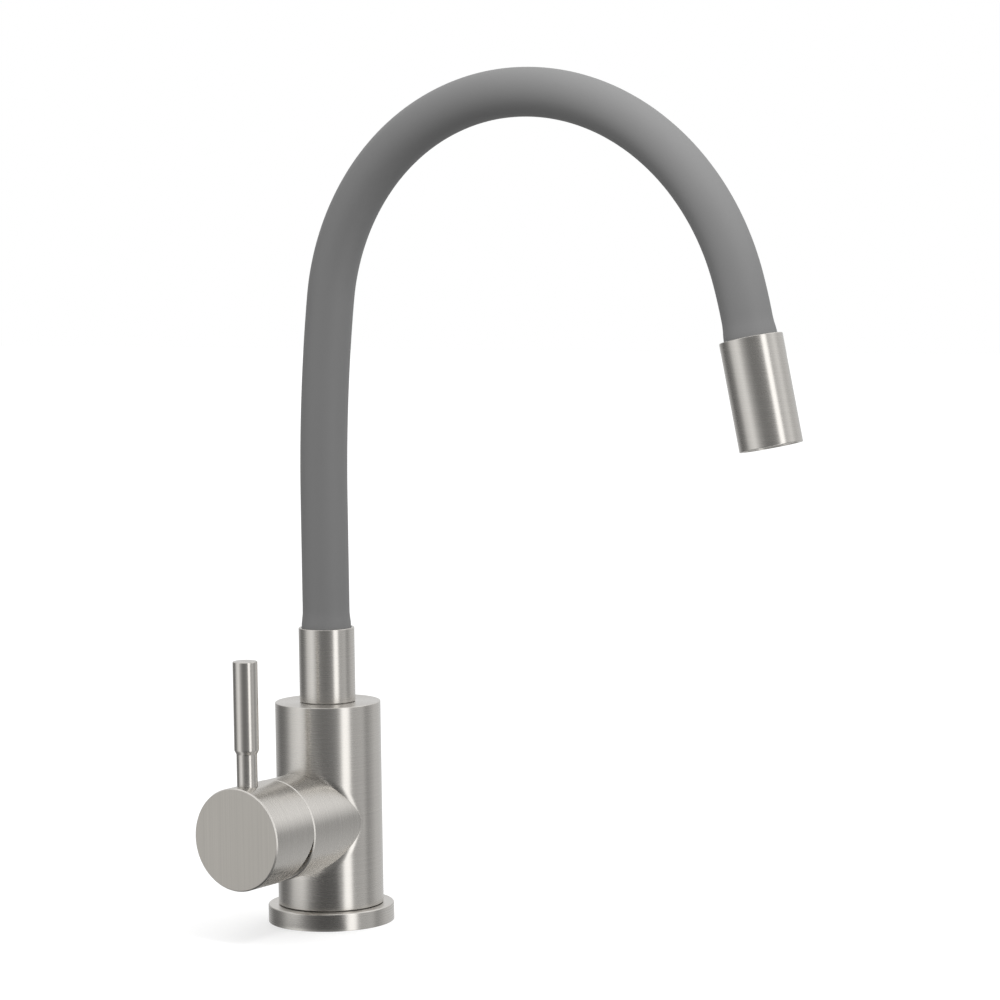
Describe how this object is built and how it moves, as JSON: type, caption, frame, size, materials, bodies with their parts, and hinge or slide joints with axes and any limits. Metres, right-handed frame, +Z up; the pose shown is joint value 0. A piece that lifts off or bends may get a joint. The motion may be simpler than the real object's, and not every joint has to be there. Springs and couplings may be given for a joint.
{
  "type": "flexible spout kitchen mixer",
  "caption": "Single-lever kitchen mixer: upright body on a deck flange, side cap with an upright lever, and a flexible goose-neck hose spout arching to a slim outlet head.",
  "frame": {"origin": "middle of the deck flange's underside, on the worktop's face and on the body's axis", "axes": "+Z up along the body and the riser, -Y towards the outlet at rest, -X along the side housing towards the handle"},
  "size_m": [0.0921, 0.2558, 0.4193],
  "materials": {
    "brushed_stainless": "fine circumferential brushing, satin",
    "plated_steel": "plain zinc-plated steel",
    "brass": "turned brass",
    "black_rubber": "matte black rubber",
    "grey_silicone": "smooth matte grey silicone",
    "gooseneck_steel": "wound steel strip",
    "clear_hose": "milky water hose",
    "cartridge_plastic": "moulded off-white plastic",
    "dark_plastic": "moulded black plastic",
    "white_plastic": "moulded white plastic",
    "chrome_trim": "bright chrome",
    "ceramic": "lapped white ceramic"
  },
  "bodies": {
    "mixer": {"mixer_body": "brushed_stainless", "base_flange": "brushed_stainless", "deck_gasket": "black_rubber", "fixing_stud": "plated_steel", "rubber_horseshoe_washer": "black_rubber", "steel_horseshoe_washer": "plated_steel", "fixing_nut": "brass", "cartridge_base": "cartridge_plastic", "cartridge_port_seals": "black_rubber", "cartridge_shell": "cartridge_plastic", "fixed_ceramic_disc": "ceramic", "cartridge_retaining_nut": "brass", "dome_cover": "dark_plastic", "spout_lock_screw": "plated_steel"},
    "mixing_rotor": {"cartridge_rotor": "cartridge_plastic", "spindle_pin": "plated_steel"},
    "flow_disc": {"moving_ceramic_disc": "ceramic", "disc_carrier": "cartridge_plastic"},
    "handle": {"cartridge_spindle": "brass", "handle_cap": "brushed_stainless", "lever_rod": "brushed_stainless", "handle_grub_screw": "plated_steel"},
    "hose_stretch_1": {"spout_collar": "brushed_stainless", "swivel_nipple": "brass", "swivel_o_rings": "black_rubber", "spout_glide_ring": "white_plastic", "lower_ferrule": "plated_steel", "hose_sleeve_1": "grey_silicone", "gooseneck_tube_1": "gooseneck_steel", "water_hose_1": "clear_hose"},
    "hose_stretch_2": {"hose_sleeve_2": "grey_silicone", "gooseneck_tube_2": "gooseneck_steel", "water_hose_2": "clear_hose"},
    "hose_stretch_3": {"hose_sleeve_3": "grey_silicone", "gooseneck_tube_3": "gooseneck_steel", "water_hose_3": "clear_hose"},
    "hose_stretch_4": {"hose_sleeve_4": "grey_silicone", "gooseneck_tube_4": "gooseneck_steel", "water_hose_4": "clear_hose"},
    "hose_stretch_5": {"hose_sleeve_5": "grey_silicone", "gooseneck_tube_5": "gooseneck_steel", "water_hose_5": "clear_hose"},
    "outlet": {"hose_sleeve_6": "grey_silicone", "gooseneck_tube_6": "gooseneck_steel", "water_hose_6": "clear_hose", "upper_ferrule": "plated_steel", "outlet_head": "brushed_stainless", "outlet_adaptor": "brass", "aerator_washer": "black_rubber", "aerator_housing": "chrome_trim", "aerator_insert": "white_plastic", "aerator_mesh": "white_plastic"}
  },
  "joints": [
    {"name": "spout_swivel", "type": "hinge", "parent": "mixer", "child": "hose_stretch_1", "pos_m": [0, 0, 0.0944], "axis": [0, 0, 1], "continuous": true},
    {"name": "hose_lean", "type": "hinge", "parent": "hose_stretch_1", "child": "hose_stretch_2", "pos_m": [0, 0, 0.174], "axis": [0, 1, 0], "range_deg": [-15, 15], "deforming": ["hose_sleeve_1", "hose_sleeve_2", "water_hose_1", "water_hose_2"]},
    {"name": "hose_bend_low", "type": "hinge", "parent": "hose_stretch_2", "child": "hose_stretch_3", "pos_m": [0, -0.00345, 0.24989], "axis": [1, 0, 0], "range_deg": [-15, 15], "deforming": ["hose_sleeve_2", "hose_sleeve_3", "water_hose_2", "water_hose_3"]},
    {"name": "hose_bend_rise", "type": "hinge", "parent": "hose_stretch_3", "child": "hose_stretch_4", "pos_m": [0, -0.03304, 0.32206], "axis": [1, 0, 0], "range_deg": [-15, 15], "deforming": ["hose_sleeve_3", "hose_sleeve_4", "water_hose_3", "water_hose_4"]},
    {"name": "hose_bend_crown", "type": "hinge", "parent": "hose_stretch_4", "child": "hose_stretch_5", "pos_m": [0, -0.10595, 0.34925], "axis": [1, 0, 0], "range_deg": [-15, 15], "deforming": ["hose_sleeve_4", "hose_sleeve_5", "water_hose_4", "water_hose_5"]},
    {"name": "hose_bend_fall", "type": "hinge", "parent": "hose_stretch_5", "child": "outlet", "pos_m": [0, -0.17717, 0.31723], "axis": [1, 0, 0], "range_deg": [-15, 15], "deforming": ["hose_sleeve_5", "hose_sleeve_6", "water_hose_5", "water_hose_6"]},
    {"name": "temperature", "type": "hinge", "parent": "mixer", "child": "mixing_rotor", "pos_m": [-0.03, 0, 0.0446], "axis": [-1, 0, 0], "range_deg": [-45, 45]},
    {"name": "flow", "type": "hinge", "parent": "mixing_rotor", "child": "handle", "pos_m": [-0.0378, 0, 0.0446], "axis": [0, -1, 0], "range_deg": [0, 17]},
    {"name": "disc_travel", "type": "slide", "parent": "mixing_rotor", "child": "flow_disc", "axis": [0, 0, 1], "range_m": [0, 0.0033]}
  ],
  "couplings": [
    {"joint": "disc_travel", "follows": "flow", "m_per_rad": 0.0108}
  ]
}
